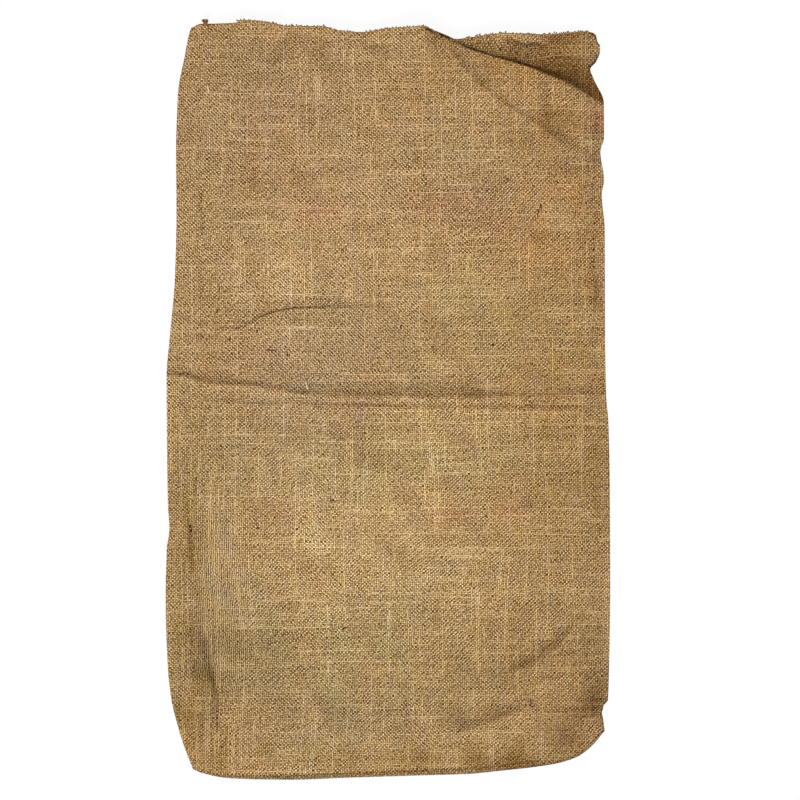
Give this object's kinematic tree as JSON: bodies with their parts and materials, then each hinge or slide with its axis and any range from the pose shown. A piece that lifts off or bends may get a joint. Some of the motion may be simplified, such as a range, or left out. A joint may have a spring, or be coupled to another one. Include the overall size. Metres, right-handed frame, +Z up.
{
  "type": "burlap sack",
  "caption": "Empty jute sack lying flat, one folded cloth sewn down one side and along the bottom, open at its frayed mouth.",
  "frame": {"origin": "middle of the sack's box, on the surface that the sack lies on", "axes": "+Y from the bottom seam to the mouth, +X from the folded side to the sewn side, +Z up from the back layer"},
  "size_m": [0.5954, 1.0166, 0.0184],
  "materials": {
    "jute": "coarse plain-weave jute, matt, tan"
  },
  "bodies": {
    "root": {"sack_cloth": "jute"}
  },
  "joints": []
}
